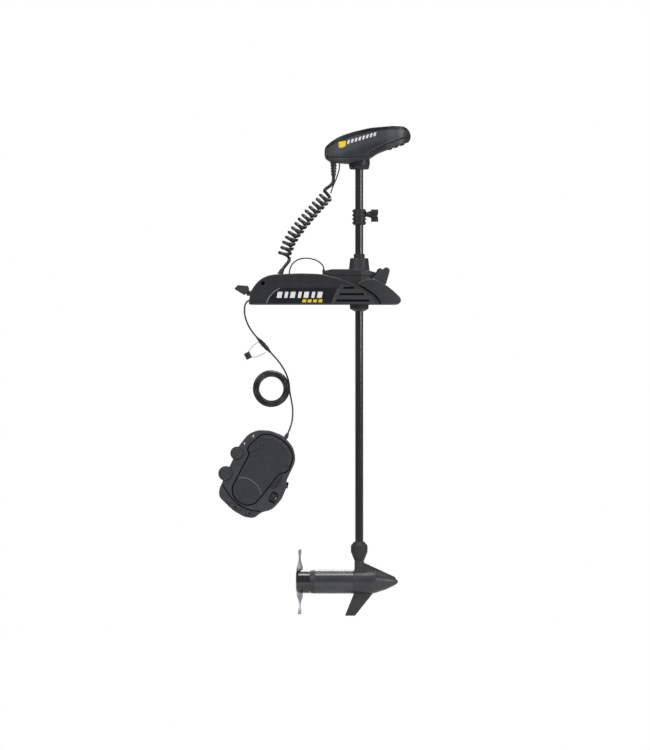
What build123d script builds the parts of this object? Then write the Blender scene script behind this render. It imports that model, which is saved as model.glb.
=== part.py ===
from build123d import *
import math
import os

# Bow-mount trolling motor in millimetres. +Z is up, +X points past the bow, and the origin is the
# centre of the deck face. The near side of the boat is -Y.

# ---- driving dimensions ----------------------------------------------------------------------
MOUNT_LEFT = -254.0          # inboard end of the mount
MOUNT_HALF_WIDTH = 92.0      # half the mount's width over its covers
SHAFT_X = 115.0              # where the vertical shaft stands on the mount
SHAFT_R = 13.5               # outside radius of the composite shaft
SHAFT_WALL = 2.5
SHAFT_TOP = 478.0
SHAFT_BOTTOM = -882.0
POD_R = 40.0                 # radius of the motor tube
POD_WALL = 4.0
POD_Z = -928.0               # height of the propeller's axis
PROP_R = 108.0               # radius over the blade tips
HEAD_TOP = 597.0
HEAD_WALL = 3.5

SLIDE_GAP = 0.3              # radial gap between faces that slide or turn on each other
PIN_GAP = 0.08               # radial gap of a hinge pin in its bore
EPS = 0.5                    # how far a cutting body runs past what it cuts

# base extrusion
FLOOR_T = 4.0
WEB_IN = 49.0
WEB_T = 5.0
WEB_OUT = WEB_IN + WEB_T
FLOOR_LEFT = MOUNT_LEFT + 10.0
FLOOR_RIGHT = SHAFT_X - 36.0
BOLT_X = (-210.0, 50.0)
BOLT_Y = 30.0
BOLT_HOLE_R = 3.5
PIVOT = (53.0, 70.0)         # stow hinge, X and Z
LATCH = (172.0, 52.0)
PIN_R = 6.0
PIN_HEAD_R = PIN_R + 2.0
PIN_HEAD_T = 4.0
PIN_INNER = 41.5

# covers, ramps
COVER_WALL = 4.0
COVER_IN = WEB_OUT + 0.5
COVER_BOTTOM = 1.0
SCREW_AT = (-207.0, 70.0)
SCREW_R = 3.0
SCREW_HEAD_R = 6.0
SCREW_HEAD_T = 4.0
SCREW_SOCKET_R = 2.5
SCREW_RECESS_R = 7.0
SCREW_RECESS = 8.0
SCREW_BOSS_R = 10.0
JACK_R = 9.0
JACK_Z = 38.5
CURLY_BOOT = (-150.0, -72.0, 99.5)
CURLY_BOOT_TOP = (-141.0, -72.0, 118.0)

# steering housing and sleeve
HOUSING_HALF = WEB_IN - 3.0
HOUSING_WALL = 4.0
HOUSING_FLOOR = 60.0
HOUSING_SPLIT = 96.0
HOUSING_TOP = 118.5
NOSE_HALF = 26.0
CUP_TOP = 156.0
SLEEVE_WALL = 4.7
SLEEVE_R = SHAFT_R + SLIDE_GAP + SLEEVE_WALL
SLEEVE_TOP = 170.0
CUP_R_TOP = SLEEVE_R + 12.0
CUP_R_BOTTOM = SLEEVE_R + 16.5
SLEEVE_BOTTOM = 2.0
BUSHING_WALL = 13.5
BUSHING_R = SLEEVE_R + BUSHING_WALL
BUSHING_TOP = 0.0
BUSHING_BOTTOM = -22.0
GEAR_MODULE = 1.5
WHEEL_TEETH = 42
PINION_TEETH = 14
PRESSURE_ANGLE = 25.0
BACKLASH = 0.3
GEAR_Z = 68.0
GEAR_W = 10.0
STEER_MOTOR_R = 17.0
STEER_MOTOR_BOTTOM = 82.0
PINION_SHAFT_R = 3.0
GEAR_CENTRES = GEAR_MODULE * (WHEEL_TEETH + PINION_TEETH) / 2
WHEEL_TIP_R = GEAR_MODULE * (WHEEL_TEETH / 2 + 1)
GEAR_CLEAR = 1.0             # between the wheel's teeth and the housing's front wall
HOUSING_FRONT = SHAFT_X + WHEEL_TIP_R + GEAR_CLEAR + HOUSING_WALL
BOOT_X = -4.0
BOOT_Y = -28.0
BOOT_R = 4.5
BOOT_TOP = 118.0

# stow lever
LEVER_PIVOT = (168.0, 84.0)
LEVER_PIN_R = 4.0
LEVER_IN = NOSE_HALF + 2.0
LEVER_T = 12.0

# depth collar and knob
COLLAR_Z = (267.0, 320.0)
COLLAR_WALL = 6.5
COLLAR_R = SHAFT_R + COLLAR_WALL
COLLAR_RIB_R = COLLAR_R + 3.0
COLLAR_RIBS = 4
KNOB_Z = 302.5
KNOB_R = 25.0
KNOB_SCREW_R = 4.0
KEY_R = 7.0
KEYS = (0.2, 0.5, 0.8)          # share of the way along the slope under the head
RELIEF_AT = (29.0, -30.0)
RELIEF_R = 12.0
RELIEF_TOP = 477.0
RELIEF_BOTTOM = 428.0

# lower unit
TUBE_LEFT = SHAFT_X - 148.0
TUBE_RIGHT = SHAFT_X - 19.0
REAR_LEFT = SHAFT_X - 165.0
HUB_LEFT = SHAFT_X - 212.0
HUB_R = POD_R - 1.0
HUB_WALL = 4.0
HUB_GAP = 1.0
SPIGOT_GAP = 3.0
SPIGOT_R = HUB_R - HUB_WALL - SPIGOT_GAP     # ring of the rear housing inside the hub
SPIGOT_IN_R = 14.0
NECK_WALL = 2.5
NECK_R = SHAFT_R + NECK_WALL
NECK_TOP = -857.0
BUMPER_WALL = 14.5
BUMPER_R = SHAFT_R + BUMPER_WALL
BUMPER_TOP = -794.0
PROP_SHAFT_R = 5.0
MAGNET_T = 6.5
MAGNET_IN_R = POD_R - POD_WALL - MAGNET_T
AIR_GAP = 2.5
ARMATURE_R = MAGNET_IN_R - AIR_GAP
BRUSH_CLEAR = 8.0            # between the brushes' outer ends and the tube
COMMUTATOR_R = 13.0
SKEG_T = 6.0
SKEG_BOTTOM = -1042.0

# foot pedal, in its own frame: x to the toe, y to the left, z out of its top
PEDAL_AT = (-226.0, -112.0, -565.0)
PEDAL_LEAN = 25.0
PEDAL_PLATE = 6.0
PEDAL_TOP = 50.0
PEDAL_WALL = 3.5
TREADLE_GAP = 3.0
TREADLE_BOTTOM = 46.0
TREADLE_TOP = 54.0
TREADLE_PIN_Z = 38.0
TREADLE_PIN_R = 4.0
PAD_1 = (35.0, 89.0, 19.5)
PAD_2 = (-42.0, 95.0, 21.5)
PAD_RIM = 3.0
PAD_TRAVEL = 3.0
WHEEL_AT = (-47.0, -83.0, 40.0)
WHEEL_R = 16.0
WHEEL_W = 20.0
WHEEL_PIN_R = 3.0
HEEL_BUTTONS = ((-129.0, 20.0, 15.0, 46.0, 6.0), (-129.0, -34.0, 15.0, 30.0, -10.0))
BAR_BUTTON = (84.0, 38.0, 48.0, 13.0, 60.0)
BUTTON_GAP = 0.5
GLAND_AT = (150.0, -36.0, 30.0)
GLAND_R = 5.0

# cords
CORD_R = 2.75
CURLY_WIRE_R = 5.2
LEAD_R = 2.2
LANYARD_R = 1.0
COIL_CENTRE = (-178.0, -112.0, -281.0)
COIL_OUT = 63.0
COIL_IN = 40.0
COIL_W = 23.0
CONNECTOR_R = 7.0
CURLY_R = 23.5


# ---- small helpers ---------------------------------------------------------------------------
def rod(radius, start, end):
    """A cylinder from one point to another."""
    line = Vector(*end) - Vector(*start)
    place = Plane(origin=start, z_dir=line)
    return place * Cylinder(radius, line.length, align=(Align.CENTER, Align.CENTER, Align.MIN))


def cone(r_start, r_end, start, end):
    line = Vector(*end) - Vector(*start)
    place = Plane(origin=start, z_dir=line)
    return place * Cone(r_start, r_end, line.length, align=(Align.CENTER, Align.CENTER, Align.MIN))


def block(x0, x1, y0, y1, z0, z1):
    return Pos((x0 + x1) / 2, (y0 + y1) / 2, (z0 + z1) / 2) * Box(x1 - x0, y1 - y0, z1 - z0)


def soft_face(points, most=120.0):
    """A flat face whose corners are arcs as large as their sides allow.

    A point's third number, where it has one, is the most that its own radius may be.
    """
    corners = [Vector(p[0], p[1]) for p in points]
    radii = []
    for i, here in enumerate(corners):
        run_in = here - corners[i - 1]
        run_out = corners[(i + 1) % len(corners)] - here
        half_turn = math.radians(run_in.get_angle(run_out)) / 2
        largest = 0.45 * min(run_in.length, run_out.length) / math.tan(half_turn)
        own = points[i][2] if len(points[i]) > 2 else most
        radii.append(min(largest, own))
    return make_face(FilletPolyline(*corners, radius=radii, close=True))


def side_face(points):
    """A flat face with sharp corners, drawn as (x, z)."""
    return make_face(Polyline(*points, close=True))


def slab(face, y0, y1):
    """A flat face drawn as (x, z), stood up and given thickness from y0 to y1."""
    solid = extrude(face, amount=y1 - y0, dir=(0, 0, 1))
    return Pos(0, y1, 0) * (Rot(90, 0, 0) * solid)


def both(part):
    """The part and its mirror image on the far side."""
    return [part, mirror(part, about=Plane.XZ)]


def turned(points, centre, direction):
    """A solid of revolution: points are (distance along the axis, radius)."""
    face = make_face(Polyline(*[(r, s) for s, r in points], close=True))
    solid = revolve(face, Axis.Y)
    line = Vector(*direction).normalized()
    place = Plane(origin=centre, z_dir=line)
    return place * (Rot(90, 0, 0) * solid)


def gear(teeth, width, bore, phase):
    """A spur gear with involute flanks, each flank drawn by a few points."""
    pitch_r = GEAR_MODULE * teeth / 2
    base_r = pitch_r * math.cos(math.radians(PRESSURE_ANGLE))
    tip_r = pitch_r + 0.9 * GEAR_MODULE
    root_r = pitch_r - 1.2 * GEAR_MODULE

    def involute(radius):
        angle = math.acos(min(1.0, base_r / radius))
        return math.tan(angle) - angle

    half_pitch = math.pi / (2 * teeth) - BACKLASH / (4 * pitch_r) + involute(pitch_r)
    start_r = max(base_r, root_r)
    radii = [start_r, (start_r + pitch_r) / 2, pitch_r, tip_r]
    flank = [(r, half_pitch - involute(r)) for r in radii]
    if root_r < base_r:
        flank.insert(0, (root_r, flank[0][1]))
    points = []
    for tooth in range(teeth):
        middle = math.radians(phase) + 2 * math.pi * tooth / teeth
        for r, a in flank:
            points.append((r * math.cos(middle - a), r * math.sin(middle - a)))
        for r, a in reversed(flank):
            points.append((r * math.cos(middle + a), r * math.sin(middle + a)))
    blank = extrude(make_face(Polyline(*points, close=True)), amount=width)
    return blank - Pos(0, 0, -EPS) * Cylinder(
        bore, width + 2 * EPS, align=(Align.CENTER, Align.CENTER, Align.MIN)
    )


def corner_radii(points):
    """The largest gentle arc at each corner of a cord's route."""
    radii = []
    for before, here, after in zip(points, points[1:], points[2:]):
        run_in = Vector(*here) - Vector(*before)
        run_out = Vector(*after) - Vector(*here)
        half_turn = math.radians(run_in.get_angle(run_out)) / 2
        radii.append(0.45 * min(run_in.length, run_out.length) / math.tan(half_turn))
    return radii


def cord(name, points, radius):
    """A plain tube along straight runs joined by tangent arcs."""
    radii = corner_radii(points)
    path = FilletPolyline(*points, radius=radii)
    section = Plane(origin=path @ 0, z_dir=path % 0) * Circle(radius)
    tube = sweep(section, path=path)
    share = tube.volume / (math.pi * radius**2 * path.length)
    rounded = ", ".join(f"{r:.0f}" for r in radii)
    print(f"{name}: {path.length:.0f} mm long, volume share {share:.4f}, radii {rounded}")
    return tube


# ---- deck mount ------------------------------------------------------------------------------
WEB_OUTLINE = [
    (FLOOR_LEFT + 2, 0), (FLOOR_LEFT + 3, 26), (-233, 47), (-216, 68), (-190, 84), (-150, 91),
    (-16, 94), (50, 83), (84, 68), (108, 58), (126, 62), (160, 74), (200, 52), (232, 20), (236, 0),
]
COVER_OUTLINE = [
    (MOUNT_LEFT, COVER_BOTTOM, 0), (-251, 29), (-244, 50), (-229, 71), (-210, 87), (-188, 97),
    (-161, 101), (-83, 104), (-16, 102), (51, 86), (84, 73), (106, 64, 2), (125, 56), (146, 42),
    (166, 28), (177, 15), (183, COVER_BOTTOM, 0),
]
RAMP_OUTLINE = [
    (187, COVER_BOTTOM, 0), (181, 17), (170, 31), (148, 46), (128, 60), (109, 67, 2), (116, 77),
    (135, 83.5), (158, 87), (178, 80), (207, 63), (231, 43.5), (252, 23), (255, 11), (247, COVER_BOTTOM),
]
PANEL = [(-194, 4), (-181, 29), (-164, 47), (-148, 56), (40, 57), (30, 4)]
VENTS = ((54.0, 101.0, 57.6), (42.0, 132.0, 34.0), (33.0, 150.0, 14.0))


def base_extrusion():
    floor = block(FLOOR_LEFT, FLOOR_RIGHT, -WEB_OUT, WEB_OUT, 0, FLOOR_T)
    web = slab(side_face(WEB_OUTLINE), WEB_IN, WEB_OUT)
    for x, z, r in ((*PIVOT, PIN_R), (*LATCH, PIN_R), (*SCREW_AT, SCREW_R)):
        web -= rod(r, (x, WEB_IN - EPS, z), (x, WEB_OUT + EPS, z))
    base = floor + both(web)
    for x in BOLT_X:
        for y in (-BOLT_Y, BOLT_Y):
            base -= rod(BOLT_HOLE_R, (x, y, -EPS), (x, y, FLOOR_T + EPS))
    return base


def shell_of(face):
    """A cover: the outline as an outer skin with a wall all round, open towards the webs."""
    skin = slab(face, COVER_IN, MOUNT_HALF_WIDTH)
    outer_edges = skin.edges().filter_by_position(
        Axis.Y, MOUNT_HALF_WIDTH - 0.01, MOUNT_HALF_WIDTH + 0.01
    )
    skin = fillet(outer_edges, COVER_WALL - 0.5)
    inside = slab(offset(face, -COVER_WALL), COVER_IN - EPS, MOUNT_HALF_WIDTH - COVER_WALL)
    return skin - inside


def side_cover():
    cover = shell_of(soft_face(COVER_OUTLINE))
    x, z = SCREW_AT
    cover += rod(SCREW_BOSS_R, (x, COVER_IN, z), (x, MOUNT_HALF_WIDTH - COVER_WALL, z))
    cover -= rod(SCREW_R + SLIDE_GAP, (x, COVER_IN - EPS, z), (x, MOUNT_HALF_WIDTH + EPS, z))
    recess_in = MOUNT_HALF_WIDTH - SCREW_RECESS
    cover -= rod(SCREW_RECESS_R, (x, recess_in, z), (x, MOUNT_HALF_WIDTH + EPS, z))
    panel_depth = 1.2
    cover -= slab(side_face(PANEL), MOUNT_HALF_WIDTH - panel_depth, MOUNT_HALF_WIDTH + EPS)
    for x0, x1, z0 in VENTS:
        slot = slab(side_face([(x0, z0 - 2), (x1, z0 - 2), (x1 - 4, z0 + 2), (x0 + 1, z0 + 2)]),
                    MOUNT_HALF_WIDTH - 2 * panel_depth, MOUNT_HALF_WIDTH + EPS)
        cover -= slot
    return cover


def ramp():
    return shell_of(soft_face(RAMP_OUTLINE))


def end_cap():
    outer = [
        (-253, 1), (-250, 29), (-243, 50), (-228, 71), (-225, 68), (-239, 48), (-246, 28), (-249, 1),
    ]
    cap = slab(side_face(outer), -WEB_IN + 1, WEB_IN - 1)
    return cap - rod(JACK_R, (-262, 0, JACK_Z), (-230, 0, JACK_Z))


def jack_plug():
    """The rubber plug of an unused socket: a neck in the end cap and a wedge to pull on."""
    neck = rod(JACK_R, (-262, 0, JACK_Z), (-236, 0, JACK_Z))
    wedge = [(-304, 53), (-291, 66), (-257, 63), (-253.5, 54), (-256, 42), (-270, 32)]
    grip = slab(soft_face(wedge, 3), -14, 14)
    return neck + fillet(grip.edges().filter_by_position(Axis.Y, 13.9, 14.1), 2)


def stub_pins():
    """Stub pins of the stow hinge and of the latch, one of each on either side."""
    pins = []
    for x, z in (PIVOT, LATCH):
        pin = rod(PIN_R, (x, PIN_INNER, z), (x, WEB_OUT, z))
        head = rod(PIN_HEAD_R, (x, WEB_OUT, z), (x, WEB_OUT + PIN_HEAD_T, z))
        pins += both(pin + head)
    return pins


def cover_screws():
    x, z = SCREW_AT
    seat = MOUNT_HALF_WIDTH - SCREW_RECESS
    shank = rod(SCREW_R, (x, WEB_IN, z), (x, seat, z))
    head = rod(SCREW_HEAD_R, (x, seat, z), (x, seat + SCREW_HEAD_T, z))
    socket = rod(SCREW_SOCKET_R, (x, seat + 1.5, z), (x, seat + SCREW_HEAD_T + EPS, z))
    return both(shank + head - socket)


def curly_boot():
    return cone(9.5, 6.5, CURLY_BOOT, CURLY_BOOT_TOP)


# ---- steering housing ------------------------------------------------------------------------
HOUSING_SIDE = [
    (-8, 66), (-8, 101), (2, 114), (22, HOUSING_TOP), (81, HOUSING_TOP), (146, 114.5), (178, 106),
    (180, 100), (172, 84), (HOUSING_FRONT, 70), (HOUSING_FRONT, HOUSING_FLOOR), (20, HOUSING_FLOOR),
    (4, HOUSING_FLOOR + 1),
]
HOUSING_PLAN = [
    (-10, -35), (3, -HOUSING_HALF), (122, -HOUSING_HALF), (HOUSING_FRONT + 3, -NOSE_HALF),
    (183, -NOSE_HALF + 3), (183, NOSE_HALF - 3), (HOUSING_FRONT + 3, NOSE_HALF), (122, HOUSING_HALF),
    (3, HOUSING_HALF), (-10, 35),
]


def housing_walls():
    """The box round the gears, closed and hollow, before it is split into two shells."""
    side = soft_face(HOUSING_SIDE, 14)
    plan = soft_face(HOUSING_PLAN, 14)
    outer = slab(side, -HOUSING_HALF - 1, HOUSING_HALF + 1) & extrude(plan, amount=200, dir=(0, 0, 1))
    inner_side = slab(offset(side, -HOUSING_WALL), -HOUSING_HALF, HOUSING_HALF)
    inner = inner_side & extrude(offset(plan, -HOUSING_WALL), amount=200, dir=(0, 0, 1))
    return outer - inner


def housing_lower(walls):
    low = walls & block(-20, 200, -60, 60, 0, HOUSING_SPLIT)
    low += rod(BUSHING_R, (SHAFT_X, 0, BUSHING_TOP), (SHAFT_X, 0, HOUSING_FLOOR + HOUSING_WALL))
    low -= rod(SLEEVE_R + SLIDE_GAP, (SHAFT_X, 0, -EPS), (SHAFT_X, 0, HOUSING_FLOOR + 20))
    x, z = PIVOT
    low -= rod(PIN_R + PIN_GAP, (x, -60, z), (x, 60, z))
    x, z = LEVER_PIVOT
    return low - rod(LEVER_PIN_R + PIN_GAP, (x, -60, z), (x, 60, z))


def housing_cover(walls):
    high = walls & block(-20, 200, -60, 60, HOUSING_SPLIT, 160)
    cup_bottom = HOUSING_TOP - HOUSING_WALL
    cup = cone(CUP_R_BOTTOM, CUP_R_TOP, (SHAFT_X, 0, cup_bottom), (SHAFT_X, 0, CUP_TOP))
    hollow = cone(CUP_R_BOTTOM - 5, CUP_R_TOP - 5, (SHAFT_X, 0, 105), (SHAFT_X, 0, CUP_TOP - 6))
    high = high + cup - hollow
    high += rod(BOOT_R, (BOOT_X, BOOT_Y, 100), (BOOT_X, BOOT_Y, BOOT_TOP))
    return high - rod(SLEEVE_R + SLIDE_GAP, (SHAFT_X, 0, 100), (SHAFT_X, 0, 170))


def lower_bushing():
    profile = [
        (BUSHING_TOP, SHAFT_R + SLIDE_GAP), (BUSHING_TOP, BUSHING_R), (-14, BUSHING_R - 1),
        (BUSHING_BOTTOM, SHAFT_R + 4), (BUSHING_BOTTOM, SHAFT_R + SLIDE_GAP),
    ]
    return turned(profile, (SHAFT_X, 0, 0), (0, 0, 1))


def steer_motor():
    x = SHAFT_X - GEAR_CENTRES
    top = HOUSING_TOP - HOUSING_WALL - 1.5
    body = rod(STEER_MOTOR_R, (x, 0, STEER_MOTOR_BOTTOM), (x, 0, top))
    return body - rod(PINION_SHAFT_R + SLIDE_GAP, (x, 0, 80), (x, 0, STEER_MOTOR_BOTTOM + 13))


def pinion():
    x = SHAFT_X - GEAR_CENTRES
    wheel = Pos(x, 0, GEAR_Z) * gear(PINION_TEETH, GEAR_W, PINION_SHAFT_R, 0)
    return wheel + rod(PINION_SHAFT_R, (x, 0, GEAR_Z), (x, 0, STEER_MOTOR_BOTTOM + 12))


def drive_sleeve():
    tube = rod(SLEEVE_R, (SHAFT_X, 0, SLEEVE_BOTTOM), (SHAFT_X, 0, SLEEVE_TOP))
    return tube - rod(SHAFT_R + SLIDE_GAP, (SHAFT_X, 0, -EPS), (SHAFT_X, 0, SLEEVE_TOP + EPS))


def gear_wheel():
    return Pos(SHAFT_X, 0, GEAR_Z) * gear(WHEEL_TEETH, GEAR_W, SLEEVE_R, 180 / WHEEL_TEETH)


def lever_arm(lobe):
    """One arm of the stow lever: a hull over its lobe, its pivot and its tail."""
    circles = (lobe, (*LEVER_PIVOT, 9.0), (198.0, 74.0, 8.0))
    face = make_hull(
        [edge for x, z, r in circles for edge in (Pos(x, z) * CenterArc((0, 0), r, 0, 360)).edges()]
    )
    return face


def stow_lever():
    near = slab(lever_arm((205.5, 113.0, 11.5)), -LEVER_IN - LEVER_T, -LEVER_IN)
    far = slab(lever_arm((185.0, 112.0, 11.0)), LEVER_IN, LEVER_IN + LEVER_T)
    x, z = LEVER_PIVOT
    pin = rod(LEVER_PIN_R, (x, -LEVER_IN - 4, z), (x, LEVER_IN + 4, z))
    bar = rod(7.0, (198.0, -LEVER_IN - 4, 80.0), (198.0, LEVER_IN + 4, 80.0))
    return near + far + pin + bar


# ---- shaft group -----------------------------------------------------------------------------
def shaft_tube():
    tube = rod(SHAFT_R, (SHAFT_X, 0, SHAFT_BOTTOM), (SHAFT_X, 0, SHAFT_TOP))
    hole = rod(SHAFT_R - SHAFT_WALL, (SHAFT_X, 0, SHAFT_BOTTOM - EPS), (SHAFT_X, 0, SHAFT_TOP + EPS))
    return tube - hole


def depth_collar():
    z0, z1 = COLLAR_Z
    collar = rod(COLLAR_R, (SHAFT_X, 0, z0), (SHAFT_X, 0, z1))
    pitch = (z1 - z0) / COLLAR_RIBS
    for i in range(COLLAR_RIBS):
        middle = z0 + (i + 0.5) * pitch
        collar += rod(COLLAR_RIB_R, (SHAFT_X, 0, middle - pitch / 4), (SHAFT_X, 0, middle + pitch / 4))
    collar += rod(9.0, (SHAFT_X, 0, KNOB_Z), (SHAFT_X + COLLAR_RIB_R + 2, 0, KNOB_Z))
    collar -= rod(SHAFT_R, (SHAFT_X, 0, z0 - EPS), (SHAFT_X, 0, z1 + EPS))
    start = SHAFT_X + SHAFT_R
    return collar - rod(KNOB_SCREW_R + SLIDE_GAP, (start - 2, 0, KNOB_Z), (start + 30, 0, KNOB_Z))


def depth_knob():
    x = SHAFT_X + COLLAR_RIB_R + 2.5
    screw = rod(KNOB_SCREW_R, (SHAFT_X + SHAFT_R + 0.4, 0, KNOB_Z), (x + 2, 0, KNOB_Z))
    hub = cone(8.0, 12.0, (x, 0, KNOB_Z), (x + 14, 0, KNOB_Z))
    knob = screw + hub
    for k in range(3):
        angle = math.radians(30 + 120 * k)
        y = (KNOB_R - 8) * math.cos(angle)
        z = KNOB_Z + (KNOB_R - 8) * math.sin(angle)
        knob += rod(8.0, (x + 14, y, z), (x + 38, y, z))
    knob += rod(16.0, (x + 14, 0, KNOB_Z), (x + 36, 0, KNOB_Z))
    return knob


def shaft_bumper():
    top = BUMPER_TOP
    profile = [
        (top, SHAFT_R), (top, SHAFT_R + 4), (top - 13, BUMPER_R), (top - 34, BUMPER_R),
        (NECK_TOP, SHAFT_R + 3), (NECK_TOP, SHAFT_R),
    ]
    return turned(profile, (SHAFT_X, 0, 0), (0, 0, 1))


KEY_SLOPE = ((205.0, 518.0), (272.0, 541.7))
HEAD_SIDE = [
    (-2, 508), (0, 526), (18, 543), (51, 563), (98, 578), (151, 590), (225, HEAD_TOP), (266, 596),
    (283, 582), (289, 562), (282, 545, 10), *reversed(KEY_SLOPE), (174.6, 506.5), (149.5, 488),
    (84, 472), (20, 477), (0, 490),
]
HEAD_HALF_PLAN = [(-6, 14), (6, 38), (46, 60), (120, 72), (200, 68), (262, 50), (291, 20)]
PARTING = [(-20, 498), (34, 490), (128, 491), (164, 514), (204, 536), (258, 556), (310, 560)]
BOARD = (34.0, 138.0, 44.0, 512.0)
BOARD_T = 1.6
BOARD_POSTS = ((46.0, 34.0), (126.0, 34.0))


def head_walls():
    side = soft_face(HEAD_SIDE)
    near_half = [(x, -y) for x, y in reversed(HEAD_HALF_PLAN)]
    plan = soft_face(HEAD_HALF_PLAN + near_half)
    outer = slab(side, -90, 90) & (Pos(0, 0, 400) * extrude(plan, amount=250, dir=(0, 0, 1)))
    inner_side = slab(offset(side, -HEAD_WALL), -90, 90)
    inner_plan = offset(plan, -HEAD_WALL)
    inner = inner_side & (Pos(0, 0, 400) * extrude(inner_plan, amount=250, dir=(0, 0, 1)))
    collar = rod(BUSHING_R, (SHAFT_X, 0, 453), (SHAFT_X, 0, 485))
    return outer, inner, collar


def below_parting():
    outline = [(-60, 400, 0), (-60, 499, 0), *PARTING[:-1], (310, 560, 0), (310, 400, 0)]
    return slab(soft_face(outline), -100, 100)


def head_base(outer, inner, collar):
    base = (outer - inner) & below_parting()
    base += collar
    for x, y in BOARD_POSTS:
        for side in (-y, y):
            base += rod(4.0, (x, side, 476), (x, side, BOARD[3]))
    base -= rod(SHAFT_R, (SHAFT_X, 0, 440), (SHAFT_X, 0, SHAFT_TOP))
    base -= rod(SHAFT_R - SHAFT_WALL, (SHAFT_X, 0, 440), (SHAFT_X, 0, 490))
    x, y = RELIEF_AT
    base -= rod(RELIEF_R, (x, y, 440), (x, y, RELIEF_TOP))
    x, y, z = HEAD_LEAD[0]
    base -= rod(LEAD_R + SLIDE_GAP, (x, y, 440), (x, y, z + EPS))
    for start, end in key_axes(12.0, 12.0):
        base -= rod(KEY_R + SLIDE_GAP, start, end)
    return base


def head_cover(outer, inner):
    return (outer - inner) - below_parting()


def key_axes(inward, outward):
    """Start and end of each key's axis, square to the slope under the head."""
    (x0, z0), (x1, z1) = KEY_SLOPE
    normal = Vector(z1 - z0, 0, -(x1 - x0)).normalized()
    for share in KEYS:
        on_face = Vector(x0 + share * (x1 - x0), 0, z0 + share * (z1 - z0))
        yield tuple(on_face - normal * inward), tuple(on_face + normal * outward)


def head_keys():
    """Three keys on one rubber mat behind the wall."""
    keys = None
    for start, end in key_axes(HEAD_WALL + 2.0, 4.0):
        key = rod(KEY_R, start, end)
        keys = key if keys is None else keys + key
    (x0, z0), (x1, z1) = KEY_SLOPE
    normal = Vector(z1 - z0, 0, -(x1 - x0)).normalized()
    middle = Vector((x0 + x1) / 2, 0, (z0 + z1) / 2) - normal * (HEAD_WALL + 2.5)
    along = Vector(x1 - x0, 0, z1 - z0).normalized()
    mat = Plane(origin=middle, x_dir=along, z_dir=normal) * Box(60, 18, 2)
    return keys + mat


def circuit_board():
    x0, x1, half, z = BOARD
    return block(x0, x1, -half, half, z, z + BOARD_T)


def head_strain_relief():
    x, y = RELIEF_AT
    ribs = 5
    step = (RELIEF_TOP - RELIEF_BOTTOM) / ribs
    relief = cone(9.5, 6.5, (x, y, RELIEF_TOP), (x, y, RELIEF_BOTTOM))
    for i in range(ribs):
        top = RELIEF_TOP - i * step
        relief += rod(RELIEF_R - 0.8 * i, (x, y, top - step * 0.45), (x, y, top))
    return relief


# ---- lower unit ------------------------------------------------------------------------------
# How far before the shaft's axis, and the share of the tube's radius there.
NOSE_PROFILE = ((42, 1.0), (55, 0.9375), (90, 0.65), (112, 0.3875), (122, 0.25), (128, 0.1375), (131, 0))


def nose_housing():
    start = TUBE_RIGHT - SHAFT_X
    profile = [(start, 0), (start, POD_R)] + [(x, share * POD_R) for x, share in NOSE_PROFILE]
    nose = turned(profile, (SHAFT_X, 0, POD_Z), (1, 0, 0))
    neck = rod(NECK_R, (SHAFT_X, 0, POD_Z), (SHAFT_X, 0, NECK_TOP))
    web_points = [(0, POD_Z), (0, NECK_TOP - 4), (14, NECK_TOP - 6), (122, POD_Z + 15), (122, POD_Z)]
    web = Pos(SHAFT_X, 0, 0) * slab(side_face(web_points), -9, 9)
    pod_bottom = POD_Z - POD_R
    skeg_points = [(-15, pod_bottom + 8), (-48, SKEG_BOTTOM), (-14, SKEG_BOTTOM), (50, pod_bottom + 6)]
    skeg = Pos(SHAFT_X, 0, 0) * slab(side_face(skeg_points), -SKEG_T / 2, SKEG_T / 2)
    nose = nose + neck + web + skeg
    nose -= rod(SHAFT_R, (SHAFT_X, 0, SHAFT_BOTTOM), (SHAFT_X, 0, NECK_TOP + EPS))
    nose -= rod(SHAFT_R - SHAFT_WALL, (SHAFT_X, 0, POD_Z), (SHAFT_X, 0, NECK_TOP + EPS))
    nose -= rod(POD_R - 8, (TUBE_RIGHT - EPS, 0, POD_Z), (TUBE_RIGHT + 14, 0, POD_Z))
    return nose - rod(PROP_SHAFT_R + PIN_GAP, (TUBE_RIGHT, 0, POD_Z), (TUBE_RIGHT + 30, 0, POD_Z))


def motor_housing():
    tube = rod(POD_R, (TUBE_LEFT, 0, POD_Z), (TUBE_RIGHT, 0, POD_Z))
    return tube - rod(POD_R - POD_WALL, (TUBE_LEFT - EPS, 0, POD_Z), (TUBE_RIGHT + EPS, 0, POD_Z))


def rear_housing():
    bell = cone(POD_R - 2, POD_R, (REAR_LEFT, 0, POD_Z), (TUBE_LEFT, 0, POD_Z))
    bell += rod(SPIGOT_R, (REAR_LEFT - 4, 0, POD_Z), (REAR_LEFT + 1, 0, POD_Z))
    bell -= rod(SPIGOT_IN_R, (REAR_LEFT - 4 - EPS, 0, POD_Z), (REAR_LEFT, 0, POD_Z))
    return bell - rod(PROP_SHAFT_R + PIN_GAP, (REAR_LEFT - EPS, 0, POD_Z), (TUBE_LEFT + EPS, 0, POD_Z))


def field_magnets():
    left, right = TUBE_LEFT + 30, TUBE_RIGHT - 22
    ring = rod(POD_R - POD_WALL, (left, 0, POD_Z), (right, 0, POD_Z))
    ring -= rod(MAGNET_IN_R, (left - EPS, 0, POD_Z), (right + EPS, 0, POD_Z))
    gap = block(left - EPS, right + EPS, -60, 60, POD_Z - 10, POD_Z + 10)
    return (ring - gap).solids()


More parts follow.
